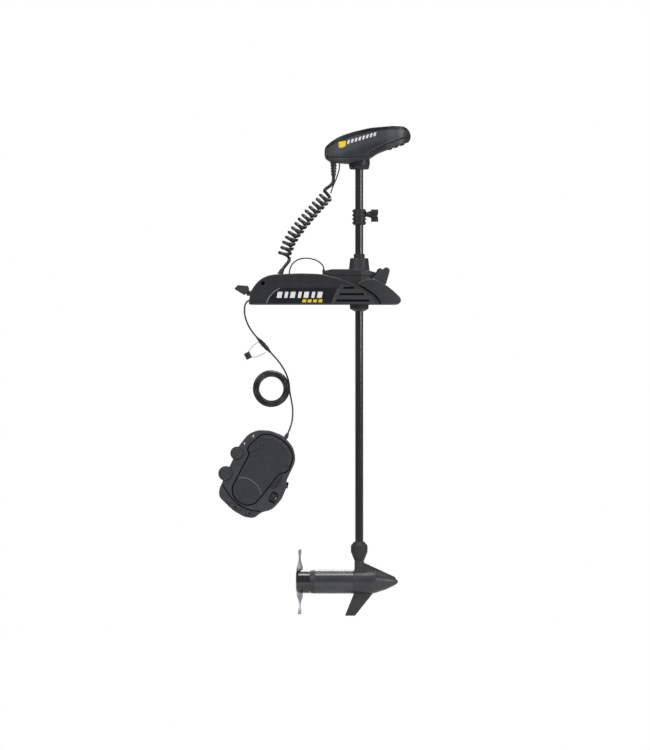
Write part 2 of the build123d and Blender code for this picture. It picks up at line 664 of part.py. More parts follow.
def brush_holder():
    right = TUBE_RIGHT
    plate = rod(POD_R - POD_WALL, (right - 6, 0, POD_Z), (right - 2, 0, POD_Z))
    plate -= rod(COMMUTATOR_R + SLIDE_GAP, (right - 7, 0, POD_Z), (right, 0, POD_Z))
    pieces = [plate]
    nearest = COMMUTATOR_R + SLIDE_GAP
    furthest = POD_R - POD_WALL - BRUSH_CLEAR
    for side in (1, -1):
        low, high = sorted((POD_Z + side * nearest, POD_Z + side * furthest))
        pieces.append(block(right - 14, right - 6, -4, 4, low, high))
    return pieces


def armature():
    stack = rod(ARMATURE_R, (TUBE_LEFT + 32, 0, POD_Z), (TUBE_RIGHT - 24, 0, POD_Z))
    commutator = rod(COMMUTATOR_R, (TUBE_RIGHT - 24, 0, POD_Z), (TUBE_RIGHT - 1, 0, POD_Z))
    whole = stack + commutator
    return whole - rod(PROP_SHAFT_R, (TUBE_LEFT, 0, POD_Z), (TUBE_RIGHT + 2, 0, POD_Z))


def prop_shaft():
    return rod(PROP_SHAFT_R, (HUB_LEFT + 2, 0, POD_Z), (TUBE_RIGHT + 24, 0, POD_Z))


# Share of the way from the hub to the tip, chord, thickness, pitch angle and skew.
BLADE_SECTIONS = (
    (0.0, 40.0, 7.0, 30.0, 0.0),
    (0.32, 58.0, 5.5, 14.0, 4.0),
    (0.65, 60.0, 4.0, 6.0, 10.0),
    (0.87, 46.0, 3.5, 13.0, 18.0),
    (1.0, 24.0, 3.0, 32.0, 25.0),
)


def propeller():
    right = REAR_LEFT - HUB_GAP
    nut_seat = HUB_LEFT + 12
    axis = (0, 0, POD_Z)
    profile = [
        (HUB_LEFT + 2, 15), (HUB_LEFT, 17), (HUB_LEFT, HUB_R - 8), (HUB_LEFT + 2.5, HUB_R - 3),
        (HUB_LEFT + 8, HUB_R), (right, HUB_R), (right, HUB_R - HUB_WALL),
        (nut_seat + 6, HUB_R - HUB_WALL), (nut_seat + 6, 11), (right - 3, 11),
        (right - 3, PROP_SHAFT_R), (nut_seat, PROP_SHAFT_R), (nut_seat, 15),
    ]
    prop = turned(profile, axis, (1, 0, 0))
    middle = HUB_LEFT + 13
    root = HUB_R - HUB_WALL
    tip = PROP_R - 0.5
    blade = loft([
        Plane(
            origin=(middle, skew, POD_Z + root + share * (tip - root)),
            x_dir=(math.sin(math.radians(pitch)), math.cos(math.radians(pitch)), 0),
            z_dir=(0, 0, 1),
        ) * Ellipse(chord / 2, thick / 2)
        for share, chord, thick, pitch, skew in BLADE_SECTIONS
    ])
    return prop + blade + blade.rotate(Axis((0, 0, POD_Z), (1, 0, 0)), 180)


def prop_nut():
    seat = HUB_LEFT + 12
    face = Plane(origin=(seat, 0, POD_Z), z_dir=(-1, 0, 0)) * RegularPolygon(10, 6)
    nut = extrude(face, amount=8)
    return nut - rod(PROP_SHAFT_R, (HUB_LEFT - 5, 0, POD_Z), (seat + 1, 0, POD_Z))


# ---- foot pedal ------------------------------------------------------------------------------
LEAN = math.radians(PEDAL_LEAN)
PEDAL_PLACE = Location(
    Plane(origin=PEDAL_AT, x_dir=(math.sin(LEAN), 0, math.cos(LEAN)), z_dir=(0, -1, 0))
)
PEDAL_OUTLINE = [
    (150, 20), (153, -25), (132, -72), (95, -99), (22, -98), (5, -108), (-40, -110), (-85, -97),
    (-110, -66), (-137, -54), (-147, -22), (-143, 20), (-122, 82), (-98, 93), (66, 93), (110, 82),
    (135, 58),
]
TREADLE_OUTLINE = [
    (126, 40), (138, 10), (138, -24), (126, -58), (106, -84), (52, -90), (34, -66), (-62, -43),
    (-92, -34), (-108, -12), (-108, 20), (-92, 46), (-70, 55), (52, 49), (60, 62), (78, 62),
]


def prism(face, z0, z1):
    return Pos(0, 0, z0) * extrude(face, amount=z1 - z0, dir=(0, 0, 1))


def upright(radius, x, y, z0, z1):
    return rod(radius, (x, y, z0), (x, y, z1))


def pedal_outer():
    """The pedal's outline with the round seats of the two pads standing out of it."""
    return soft_face(PEDAL_OUTLINE, 60)


def lozenge(x, y, length, width, angle, grow=0.0):
    """A rounded bar whose long side lies along y, turned by an angle."""
    bar = RectangleRounded(width + 2 * grow, length + 2 * grow, (width + 2 * grow) / 2 - 0.6)
    return Pos(x, y) * Rot(0, 0, angle) * bar


def pedal_base():
    base = prism(offset(pedal_outer(), -0.4), 0, PEDAL_PLATE)
    for y in (-46.5, 46.5):
        post = block(-6, 6, y - 3.5, y + 3.5, PEDAL_PLATE, TREADLE_PIN_Z)
        post += rod(6.0, (0, y - 3.5, TREADLE_PIN_Z), (0, y + 3.5, TREADLE_PIN_Z))
        base += post - rod(TREADLE_PIN_R, (0, y - 4, TREADLE_PIN_Z), (0, y + 4, TREADLE_PIN_Z))
    x, y, z = WHEEL_AT
    for side in (-1, 1):
        middle = y + side * (WHEEL_W / 2 + 3)
        post = block(x - 5, x + 5, middle - 2, middle + 2, PEDAL_PLATE, z)
        post += rod(5.0, (x, middle - 2, z), (x, middle + 2, z))
        base += post - rod(WHEEL_PIN_R + PIN_GAP, (x, middle - 3, z), (x, middle + 3, z))
    return base


def pedal_shell():
    outer = prism(pedal_outer(), PEDAL_PLATE, PEDAL_TOP)
    top_edges = outer.edges().filter_by_position(Axis.Z, PEDAL_TOP - 0.01, PEDAL_TOP + 0.01)
    outer = fillet(top_edges, PEDAL_WALL - 0.3)
    inner = prism(offset(pedal_outer(), -PEDAL_WALL), PEDAL_PLATE - EPS, PEDAL_TOP - PEDAL_WALL)
    shell = outer - inner
    for x, y, r in (PAD_1, PAD_2):
        shell += upright(r + PAD_RIM, x, y, PEDAL_PLATE, PEDAL_TOP - 1)
        shell -= upright(r + BUTTON_GAP, x, y, PEDAL_TOP - 14, PEDAL_TOP + EPS)
    opening = soft_face(TREADLE_OUTLINE, 30)
    shell -= prism(offset(opening, TREADLE_GAP), PEDAL_PLATE - EPS, PEDAL_TOP + EPS)
    x, y, z = WHEEL_AT
    half = WHEEL_R + 1.5
    shell -= block(x - half, x + half, y - WHEEL_W / 2 - 1, y + WHEEL_W / 2 + 1, PEDAL_PLATE, 60)
    for x, y, width, length, angle in HEEL_BUTTONS:
        hole = lozenge(x, y, length, width, angle, BUTTON_GAP)
        shell -= prism(hole, PEDAL_PLATE, PEDAL_TOP + EPS)
    x, y, z = GLAND_AT
    return shell - rod(GLAND_R, (x - 12, y, z), (x + 12, y, z))


def pedal_boot():
    x, y, z = GLAND_AT
    return rod(GLAND_R, (x - 10, y, z), (x, y, z)) + cone(7.5, 4.5, (x, y, z), (x + 16, y, z))


def treadle():
    plate = prism(soft_face(TREADLE_OUTLINE, 30), TREADLE_BOTTOM, TREADLE_TOP)
    top_edges = plate.edges().filter_by_position(Axis.Z, TREADLE_TOP - 0.01, TREADLE_TOP + 0.01)
    plate = fillet(top_edges, 2.0)
    for y in (-37.5, 37.5):
        lug = block(-8, 8, y - 3.5, y + 3.5, TREADLE_PIN_Z, TREADLE_BOTTOM + 1)
        plate += lug + rod(8.0, (0, y - 3.5, TREADLE_PIN_Z), (0, y + 3.5, TREADLE_PIN_Z))
    plate -= rod(TREADLE_PIN_R + PIN_GAP, (0, -60, TREADLE_PIN_Z), (0, 60, TREADLE_PIN_Z))
    x, y, length, width, angle = BAR_BUTTON
    pocket = lozenge(x, y, length, width, angle, BUTTON_GAP)
    return plate - prism(pocket, TREADLE_TOP - 5, TREADLE_TOP + EPS)


def treadle_pin():
    return rod(TREADLE_PIN_R, (0, -50, TREADLE_PIN_Z), (0, 50, TREADLE_PIN_Z))


def speed_wheel():
    x, y, z = WHEEL_AT
    wheel = rod(WHEEL_R, (x, y - WHEEL_W / 2, z), (x, y + WHEEL_W / 2, z))
    half = WHEEL_W / 2 + 4.5
    wheel += rod(WHEEL_PIN_R, (x, y - half, z), (x, y + half, z))
    ribs = 20
    for k in range(ribs):
        angle = 2 * math.pi * k / ribs
        cx, cz = x + WHEEL_R * math.cos(angle), z + WHEEL_R * math.sin(angle)
        wheel -= rod(1.2, (cx, y - WHEEL_W, cz), (cx, y + WHEEL_W, cz))
    return wheel


def round_pad(pad):
    x, y, r = pad
    button = upright(r, x, y, PEDAL_TOP - 14 + PAD_TRAVEL + 1, PEDAL_TOP + 5)
    top_edges = button.edges().filter_by_position(Axis.Z, PEDAL_TOP + 4.9, PEDAL_TOP + 5.1)
    return fillet(top_edges, 3)


def heel_button(spec):
    x, y, width, length, angle = spec
    button = prism(lozenge(x, y, length, width, angle), PEDAL_TOP - 10, PEDAL_TOP + 3)
    top_edges = button.edges().filter_by_position(Axis.Z, PEDAL_TOP + 2.9, PEDAL_TOP + 3.1)
    return fillet(top_edges, 1.5)


def bar_button():
    x, y, length, width, angle = BAR_BUTTON
    button = prism(lozenge(x, y, length, width, angle), TREADLE_TOP - 5 + 2.2, TREADLE_TOP + 3)
    top_edges = button.edges().filter_by_position(Axis.Z, TREADLE_TOP + 2.9, TREADLE_TOP + 3.1)
    return fillet(top_edges, 1.5)


# ---- cords -----------------------------------------------------------------------------------
PEDAL_CORD_UPPER = [
    (-250, -76, 14), (-259, -76, 11), (-266, -77, 1), (-268.5, -78, -14), (-268, -80, -33),
    (-262, -84, -56), (-247, -89, -87), (-226, -94, -111),
]
PEDAL_CORD_MID = [
    (-181.5, -100, -159.5), (-165, -103, -177), (-148, -106, -198), (-133, -108, -222),
    (-123, -110, -246), (-119, -112, -268),
]
PEDAL_CORD_LOWER = [
    (-120, -112, -270), (-113, -114, -290), (-107, -119, -318), (-106, -127, -352),
    (-109, -136, -386),
]
CURLY_TOP = (10.5, -32.0, 367.5)
CURLY_BOTTOM = (-136.6, -66.0, 159.5)
CURLY_BEND = ((-27.0, -40.0, 328.0), (-98.0, -52.0, 246.0), (-127.0, -62.0, 194.0))
SENSE_CABLE = [
    (-119, -62, 101), (-118, -61, 117), (-110, -58, 135), (-94, -52, 149), (-70, -45, 156),
    (-45, -38, 154), (-23, -32, 146), (-9, -29, 134), (BOOT_X, BOOT_Y, BOOT_TOP + 8),
    (BOOT_X, BOOT_Y, BOOT_TOP),
]
CURLY_TAIL_LOWER = [
    CURLY_BOOT_TOP, (-136, -72, 127), (-129, -70, 138), (-126.5, -67, 151),
]
HEAD_LEAD = [
    (49, -22, 475), (49, -22, 458), (45, -22, 441), (39, -23, 423), (31, -25, 405), (24, -28, 388),
    (19.5, -30, 372),
]
CONNECTOR_FROM = (-226.0, -94.0, -111.0)
CONNECTOR_TO = (-181.5, -100.0, -159.5)
CAP_AT = (-256.5, -97.0, -170.0)
LANYARD_1 = [(-220.5, -95, -125), (-231, -96, -131), (-246, -97, -144), (-255, -97, -159)]
LANYARD_2 = [(-247, -97, -176), (-234, -97, -176.5), (-216, -97, -171), (-198, -98.5, -160)]


def on_connector(share):
    start, end = Vector(*CONNECTOR_FROM), Vector(*CONNECTOR_TO)
    return tuple(start + (end - start) * share)


def connector_socket():
    body = cone(3.6, 5.5, on_connector(0), on_connector(0.22))
    body += rod(CONNECTOR_R, on_connector(0.2), on_connector(0.5))
    return body + rod(CONNECTOR_R + 1.2, on_connector(0.42), on_connector(0.5))


def connector_plug():
    body = cone(5.5, 3.6, on_connector(0.78), on_connector(1))
    return body + rod(CONNECTOR_R, on_connector(0.5), on_connector(0.8))


def connector_cap():
    x, y, z = CAP_AT
    cup = rod(10.0, (x - 5, y, z + 9), (x + 5, y, z - 11))
    return cup - rod(7.6, (x - 0.4, y, z - 1), (x + 6, y, z - 13))


def pedal_cord_coil():
    x, y, z = COIL_CENTRE
    ring = rod(COIL_OUT, (x, y - COIL_W / 2, z), (x, y + COIL_W / 2, z))
    ring -= rod(COIL_IN, (x, y - COIL_W, z), (x, y + COIL_W, z))
    return fillet(ring.edges().filter_by(GeomType.CIRCLE), 8)


def curly_route():
    return [CURLY_TOP, *CURLY_BEND, CURLY_BOTTOM]


def curly_tail_upper():
    """From the strain relief down into the top of the curly cord, square to its end face."""
    x, y = RELIEF_AT
    along = (Vector(*CURLY_BEND[0]) - Vector(*CURLY_TOP)).normalized()
    across = Vector(along.Z, 0, -along.X).normalized()
    end = Vector(*CURLY_TOP) + across * 12
    before = end - along * 12
    start = [(x, y, RELIEF_BOTTOM), (x, y, 417), (x - 4, y, 405), (x - 11, y, 395)]
    return start + [tuple(before), tuple(end)]


def build():
    walls = housing_walls()
    outer, inner, collar = head_walls()
    cover = side_cover()
    ramp_piece = ramp()
    nodes = {
        "base_extrusion": base_extrusion(),
        "side_covers": both(cover),
        "ramps": both(ramp_piece),
        "end_cap": end_cap(),
        "jack_plug": jack_plug(),
        "stub_pins": stub_pins(),
        "cover_screws": cover_screws(),
        "curly_boot": curly_boot(),
        "housing_lower": housing_lower(walls),
        "housing_cover": housing_cover(walls),
        "lower_bushing": lower_bushing(),
        "steer_motor": steer_motor(),
        "drive_pinion": pinion(),
        "drive_sleeve": drive_sleeve(),
        "gear_wheel": gear_wheel(),
        "stow_lever": stow_lever(),
        "shaft_tube": shaft_tube(),
        "depth_collar": depth_collar(),
        "depth_knob": depth_knob(),
        "shaft_bumper": shaft_bumper(),
        "head_base": head_base(outer, inner, collar),
        "head_cover": head_cover(outer, inner),
        "head_keys": head_keys(),
        "circuit_board": circuit_board(),
        "head_strain_relief": head_strain_relief(),
        "nose_housing": nose_housing(),
        "motor_housing": motor_housing(),
        "rear_housing": rear_housing(),
        "field_magnets": field_magnets(),
        "brush_holder": brush_holder(),
        "armature": armature(),
        "prop_shaft": prop_shaft(),
        "propeller": propeller(),
        "prop_nut": prop_nut(),
        "pedal_cord_coil": pedal_cord_coil(),
        "connector_socket": connector_socket(),
        "connector_plug": connector_plug(),
        "connector_cap": connector_cap(),
    }
    pedal = {
        "pedal_base": pedal_base(),
        "pedal_shell": pedal_shell(),
        "pedal_boot": pedal_boot(),
        "treadle": treadle(),
        "treadle_pin": treadle_pin(),
        "speed_wheel": speed_wheel(),
        "front_pad": round_pad(PAD_1),
        "rear_pad": round_pad(PAD_2),
        "bar_button": bar_button(),
        "left_heel_button": heel_button(HEEL_BUTTONS[0]),
        "right_heel_button": heel_button(HEEL_BUTTONS[1]),
    }
    for name, part in pedal.items():
        nodes[name] = PEDAL_PLACE * part

    gland_end = PEDAL_PLACE * Location((GLAND_AT[0] + 16, GLAND_AT[1], GLAND_AT[2]))
    gland_out = PEDAL_PLACE * Location((GLAND_AT[0] + 34, GLAND_AT[1], GLAND_AT[2]))
    lower = [*PEDAL_CORD_LOWER, tuple(gland_out.position), tuple(gland_end.position)]
    nodes["pedal_cord_upper"] = cord("pedal_cord_upper", PEDAL_CORD_UPPER, CORD_R)
    nodes["pedal_cord_mid"] = cord("pedal_cord_mid", PEDAL_CORD_MID, CORD_R)
    nodes["pedal_cord_lower"] = cord("pedal_cord_lower", lower, CORD_R)
    nodes["sense_cable"] = cord("sense_cable", SENSE_CABLE, LEAD_R)
    nodes["cap_lanyards"] = [
        cord("lanyard_1", LANYARD_1, LANYARD_R), cord("lanyard_2", LANYARD_2, LANYARD_R)
    ]
    nodes["curly_cord"] = cord("curly_cord", curly_route(), CURLY_R)
    nodes["curly_tail_upper"] = cord("curly_tail_upper", curly_tail_upper(), CURLY_WIRE_R)
    nodes["curly_tail_lower"] = cord("curly_tail_lower", CURLY_TAIL_LOWER, CURLY_WIRE_R)
    nodes["head_lead"] = cord("head_lead", HEAD_LEAD, LEAD_R)
    return nodes


def main():
    os.makedirs("parts", exist_ok=True)
    for name, part in build().items():
        solids = part if isinstance(part, list) else [part]
        shape = Compound(children=[s for p in solids for s in p.solids()])
        if len(shape.solids()) == 1:
            shape = shape.solids()[0]
        export_step(shape, f"parts/{name}.step")


main()
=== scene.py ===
"""Looks of the bow-mounted trolling motor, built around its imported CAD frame. Metres, row frame."""
import math

import bmesh
import bpy
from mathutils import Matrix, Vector
from mathutils.bvhtree import BVHTree


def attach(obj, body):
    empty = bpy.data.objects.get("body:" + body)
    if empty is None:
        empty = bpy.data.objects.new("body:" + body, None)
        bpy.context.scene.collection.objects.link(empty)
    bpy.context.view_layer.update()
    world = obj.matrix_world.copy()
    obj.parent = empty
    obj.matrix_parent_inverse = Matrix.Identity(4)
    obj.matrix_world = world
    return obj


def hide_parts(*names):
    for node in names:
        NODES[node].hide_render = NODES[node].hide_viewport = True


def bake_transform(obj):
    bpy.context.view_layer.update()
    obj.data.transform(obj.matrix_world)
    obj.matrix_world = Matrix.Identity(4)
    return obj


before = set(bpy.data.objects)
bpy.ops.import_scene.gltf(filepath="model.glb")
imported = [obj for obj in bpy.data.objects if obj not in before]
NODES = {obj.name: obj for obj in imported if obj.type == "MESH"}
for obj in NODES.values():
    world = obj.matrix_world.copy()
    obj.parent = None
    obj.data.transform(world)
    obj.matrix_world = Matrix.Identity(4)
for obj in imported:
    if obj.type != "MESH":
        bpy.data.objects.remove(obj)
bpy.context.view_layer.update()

# ---- camera ------------------------------------------------------------------------------------
FRAME_HEIGHT = 2.5125
LOOK_AT = (0.0004, -0.2355)
AWAY = 20.0
camera_data = bpy.data.cameras.new("camera")
camera_data.sensor_width = 36.0
camera_data.lens = camera_data.sensor_width * AWAY / FRAME_HEIGHT
camera_data.clip_end = 100.0
camera = bpy.data.objects.new("camera", camera_data)
camera.location = (LOOK_AT[0], -AWAY, LOOK_AT[1])
camera.rotation_euler = (math.radians(90), 0, 0)
bpy.context.collection.objects.link(camera)
bpy.context.scene.camera = camera


# ---- materials ---------------------------------------------------------------------------------
SPECK_GAIN = 1.4
WORN_GAIN = 2.4
GRAIN_HEIGHT = 0.0004
COAT_ROUGH = 0.08


def shift(color, factor):
    return tuple(min(1.0, c * factor) for c in color) + (1.0,)


def material(name, color, rough, metallic=0.0, tint=0.18, mottle=22.0, grain=900.0, bump=0.12,
             wear=0.5, edge=0.0007, coat=0.0, spec=0.5, stretch=(1, 1, 1), fade=None, top=None,
             swing=0.06, radial=None):
    """Mottled colour, worn lighter edges and a fine grain. fade is (direction, from, to, factor)
    along a direction, radial is (centre, plane, from, to, factor) by the distance from a centre, top is
    the factor for faces that look up, and stretch pulls the grain along an axis. An edge of 0 leaves
    the rounded edges out."""
    mat = bpy.data.materials.new(name)
    mat.use_nodes = True
    tree = mat.node_tree
    nodes, links = tree.nodes, tree.links
    shader = nodes["Principled BSDF"]

    def add(kind, **values):
        node = nodes.new(kind)
        for key, value in values.items():
            setattr(node, key, value)
        return node

    def ranged(source, low, high, to_low, to_high):
        node = add("ShaderNodeMapRange")
        for key, value in zip(("From Min", "From Max", "To Min", "To Max"), (low, high, to_low, to_high)):
            node.inputs[key].default_value = value
        links.new(source, node.inputs["Value"])
        return node.outputs["Result"]

    def mixed(factor, a, b):
        node = add("ShaderNodeMix", data_type="RGBA")
        links.new(factor, node.inputs["Factor"])
        for socket, value in ((node.inputs["A"], a), (node.inputs["B"], b)):
            if isinstance(value, tuple):
                socket.default_value = value
            else:
                links.new(value, socket)
        return node.outputs["Result"]

    coordinates = add("ShaderNodeTexCoord").outputs["Object"]
    mapping = add("ShaderNodeMapping")
    mapping.inputs["Scale"].default_value = stretch
    links.new(coordinates, mapping.inputs["Vector"])
    cloud = add("ShaderNodeTexNoise")
    cloud.inputs["Scale"].default_value = mottle
    cloud.inputs["Detail"].default_value = 5.0
    links.new(coordinates, cloud.inputs["Vector"])
    fine = add("ShaderNodeTexNoise")
    fine.inputs["Scale"].default_value = grain
    fine.inputs["Detail"].default_value = 2.0
    links.new(mapping.outputs["Vector"], fine.inputs["Vector"])

    clouded = ranged(cloud.outputs["Fac"], 0.32, 0.68, 0, 1)
    body = mixed(clouded, shift(color, 1 - tint), shift(color, 1 + tint))
    speck = ranged(fine.outputs["Fac"], 0.35, 0.7, 0, 1)
    if tint > 0.1:
        body = mixed(speck, body, shift(color, 1 + SPECK_GAIN * tint))
    if fade:
        direction, start, end, factor = fade
        along = add("ShaderNodeVectorMath", operation="DOT_PRODUCT")
        links.new(coordinates, along.inputs[0])
        along.inputs[1].default_value = direction
        body = mixed(ranged(along.outputs["Value"], start, end, 0, 1), body, shift(color, factor))
    if radial:
        centre, plane, start, end, factor = radial
        offset = add("ShaderNodeVectorMath", operation="SUBTRACT")
        links.new(coordinates, offset.inputs[0])
        offset.inputs[1].default_value = centre
        across = add("ShaderNodeVectorMath", operation="MULTIPLY")
        links.new(offset.outputs["Vector"], across.inputs[0])
        across.inputs[1].default_value = plane
        reach = add("ShaderNodeVectorMath", operation="LENGTH")
        links.new(across.outputs["Vector"], reach.inputs[0])
        body = mixed(ranged(reach.outputs["Value"], start, end, 0, 1), body, shift(color, factor))
    geometry = add("ShaderNodeNewGeometry")
    if top:
        split = add("ShaderNodeSeparateXYZ")
        links.new(geometry.outputs["Normal"], split.inputs[0])
        body = mixed(ranged(split.outputs["Z"], 0.45, 0.6, 0, 1), body, shift(color, top))
    if edge:
        bevel = add("ShaderNodeBevel", samples=4)
        bevel.inputs["Radius"].default_value = edge
    if wear and edge:
        dot = add("ShaderNodeVectorMath", operation="DOT_PRODUCT")
        links.new(bevel.outputs["Normal"], dot.inputs[0])
        links.new(geometry.outputs["True Normal"], dot.inputs[1])
        worn = ranged(dot.outputs["Value"], 0.93, 0.75, 0, wear)
        body = mixed(worn, body, shift(color, WORN_GAIN))
    links.new(body, shader.inputs["Base Color"])
    uneven = ranged(cloud.outputs["Fac"], 0.3, 0.7, rough - swing, rough + swing)
    links.new(uneven, shader.inputs["Roughness"])
    if bump:
        relief = add("ShaderNodeBump")
        relief.inputs["Strength"].default_value = bump
        relief.inputs["Distance"].default_value = GRAIN_HEIGHT
        links.new(fine.outputs["Fac"], relief.inputs["Height"])
        if edge:
            links.new(bevel.outputs["Normal"], relief.inputs["Normal"])
        links.new(relief.outputs["Normal"], shader.inputs["Normal"])
    shader.inputs["Metallic"].default_value = metallic
    shader.inputs["Specular IOR Level"].default_value = spec
    shader.inputs["Coat Weight"].default_value = coat
    shader.inputs["Coat Roughness"].default_value = COAT_ROUGH
    return mat


BLACK = (0.017, 0.0175, 0.019)
mount_black = material("mount_black", BLACK, 0.42, tint=0.15, bump=0.12, wear=0.2)
panel_black = material("panel_black", (0.006, 0.006, 0.007), 0.3, tint=0.15, bump=0.06)
ramp_grey = material("ramp_grey", (0.026, 0.0265, 0.028), 0.4, bump=0.12, wear=0.2,
                     fade=((1, 0, 0), 0.15, 0.25, 1.7))
vent_grey = material("vent_grey", (0.034, 0.0345, 0.036), 0.42, bump=0.12)
rim_grey = material("rim_grey", (0.045, 0.046, 0.048), 0.38, bump=0.08)
housing_black = material("housing_black", (0.023, 0.0235, 0.025), 0.55, bump=0.1, wear=0.25)
lever_grey = material("lever_grey", (0.04, 0.041, 0.044), 0.45, bump=0.14)
head_shell = material("head_shell", (0.024, 0.025, 0.027), 0.4, bump=0.06, top=0.12, tint=0.1,
                      fade=((-0.287, 0, 0.958), 0.462, 0.478, 2.1),
                      radial=((0.238, 0, 0.115), (1, 0, 1), 0.4684, 0.4698, 0.1))
head_under = material("head_under", (0.022, 0.0225, 0.024), 0.4, bump=0.12)
# Light grey for a painted highlight line along the head cover, just above its parting seam.
seam_painted_highlight = material("seam_painted_highlight", (0.1, 0.102, 0.106), 0.35, tint=0.1, bump=0.04, wear=0.0)
collar_black = material("collar_black", (0.019, 0.019, 0.021), 0.5, bump=0.18)
shaft_gloss = material("shaft_gloss", (0.012, 0.012, 0.0135), 0.22, tint=0.1, grain=120, bump=0.0,
                       coat=0.5, wear=0.0, stretch=(1, 1, 0.02), swing=0.02, edge=0.0)
pod_paint = material("pod_paint", (0.024, 0.0245, 0.027), 0.3, grain=160, bump=0.0, coat=0.5, spec=0.6,
                     stretch=(0.05, 1, 1), swing=0.03, edge=0.0)
nose_paint = material("nose_paint", (0.025, 0.0255, 0.027), 0.42, bump=0.0, coat=0.2, edge=0.0)
# Glossy black propeller. Beyond the hub's radius the blades get a much lighter base colour: a painted
# reflection standing for the sheen on the glossy blades.
prop_gloss_painted_blade_sheen = material("prop_gloss_painted_blade_sheen", (0.007, 0.007, 0.008), 0.14, tint=0.1, bump=0.0, coat=0.8, edge=0.0,
                     radial=((0, 0, -0.928), (0, 1, 1), 0.0405, 0.0425, 44.0))
pedal_grey = material("pedal_grey", (0.037, 0.038, 0.0425), 0.5, tint=0.16, mottle=60, grain=1100, bump=0.25)
pedal_dark = material("pedal_dark", (0.014, 0.014, 0.016), 0.5, bump=0.2)
treadle_mat = material("treadle_mat", (0.022, 0.023, 0.024), 0.6, tint=0.16, mottle=70, grain=1400, bump=0.4)
pad_rubber = material("pad_rubber", (0.03, 0.032, 0.035), 0.55, tint=0.16, mottle=90, grain=1300, bump=0.35)
rubber = material("rubber", (0.016, 0.016, 0.017), 0.5, tint=0.2, bump=0.3)
jack_rubber = material("jack_rubber", (0.045, 0.046, 0.049), 0.42, tint=0.25, bump=0.3)
cord_rubber = material("cord_rubber", (0.015, 0.0155, 0.017), 0.3, tint=0.12, bump=0.04, coat=0.2, wear=0.0,
                       edge=0.0003)
lanyard_rubber = material("lanyard_rubber", (0.16, 0.165, 0.17), 0.5, wear=0.0, edge=0.0002)
connector_black = material("connector_black", (0.022, 0.0225, 0.024), 0.34, bump=0.1, coat=0.2)
steel = material("steel", (0.5, 0.5, 0.51), 0.28, metallic=1.0, tint=0.1, bump=0.1, stretch=(1, 0.05, 1))
gear_nylon = material("gear_nylon", (0.62, 0.6, 0.54), 0.5, tint=0.08, bump=0.1)
motor_metal = material("motor_metal", (0.16, 0.16, 0.165), 0.42, metallic=0.8, bump=0.15)
copper = material("copper", (0.6, 0.27, 0.12), 0.35, metallic=1.0, tint=0.15, bump=0.2, stretch=(0.1, 1, 1))
board_green = material("board_green", (0.02, 0.13, 0.05), 0.3, tint=0.2, mottle=120, bump=0.1, coat=0.3)
line_grey = material("line_grey", (0.26, 0.27, 0.28), 0.4, tint=0.1, bump=0.05, wear=0.0)
line_dim = material("line_dim", (0.062, 0.064, 0.068), 0.5, tint=0.1, bump=0.1, wear=0.0)
line_mid = material("line_mid", (0.11, 0.113, 0.116), 0.5, tint=0.1, bump=0.1, wear=0.0)
mark_white = material("mark_white", (0.82, 0.82, 0.82), 0.4, tint=0.05, bump=0.05, wear=0.0)
mark_yellow = material("mark_yellow", (0.85, 0.62, 0.02), 0.4, tint=0.06, bump=0.05, wear=0.0)
# Near-black: painted shade in the vent slots and over the cover screws; also the colour of the pedal's heel
# groove line, side key and heel arrows.
shade_and_mark_black = material("shade_and_mark_black", (0.0025, 0.0025, 0.0025), 0.7, tint=0.1, wear=0.0, spec=0.08)

FINISH = {
    mount_black: ("base_extrusion", "side_covers", "end_cap"),
    ramp_grey: ("ramps",),
    housing_black: ("housing_lower", "housing_cover", "lower_bushing"),
    lever_grey: ("stow_lever",),
    head_shell: ("head_cover",),
    head_under: ("head_base", "head_strain_relief"),
    collar_black: ("depth_collar", "depth_knob", "drive_sleeve"),
    # The cover screws are coloured near-black as painted shade in their recesses.
    shade_and_mark_black: ("cover_screws",),
    shaft_gloss: ("shaft_tube",),
    pod_paint: ("motor_housing",),
    nose_paint: ("nose_housing", "rear_housing"),
    prop_gloss_painted_blade_sheen: ("propeller",),
    pedal_grey: ("pedal_shell", "left_heel_button", "right_heel_button"),
    pedal_dark: ("pedal_base", "speed_wheel", "bar_button"),
    treadle_mat: ("treadle",),
    pad_rubber: ("front_pad", "rear_pad"),
    rubber: ("shaft_bumper", "curly_boot", "head_keys", "pedal_boot", "connector_cap"),
    jack_rubber: ("jack_plug",),
    connector_black: ("connector_socket", "connector_plug"),
    steel: ("stub_pins", "prop_shaft", "prop_nut", "treadle_pin"),
    gear_nylon: ("drive_pinion", "gear_wheel"),
    motor_metal: ("steer_motor", "field_magnets", "brush_holder"),
    copper: ("armature",),
    board_green: ("circuit_board",),
}
for finish, names in FINISH.items():
    for name in names:
        slots = NODES[name].material_slots
        for slot in slots:
            slot.material = finish
        if not slots:
            NODES[name].data.materials.append(finish)


def soften(name, voxel, passes):
    """Rounds a moulded shell's edges the way its mould does."""
    remesh = NODES[name].modifiers.new("even", "REMESH")
    remesh.mode = "VOXEL"
    remesh.voxel_size = voxel
    remesh.use_smooth_shade = True
    smooth = NODES[name].modifiers.new("round", "SMOOTH")
    smooth.factor = 0.5
    smooth.iterations = passes


# ---- mesh helpers ------------------------------------------------------------------------------
def mm(points):
    return [tuple(c / 1000 for c in point) for point in points]


def finish_piece(obj, body, mat, replaces=()):
    obj.data.materials.append(mat)
    if body:
        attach(obj, body)
    if replaces:
        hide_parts(*replaces)
    return obj


def mesh_piece(name, bm, smooth=False):
    bmesh.ops.recalc_face_normals(bm, faces=bm.faces)
    for face in bm.faces:
        face.smooth = smooth
    data = bpy.data.meshes.new(name)
    bm.to_mesh(data)
    bm.free()
    obj = bpy.data.objects.new(name, data)
    bpy.context.collection.objects.link(obj)
    return obj


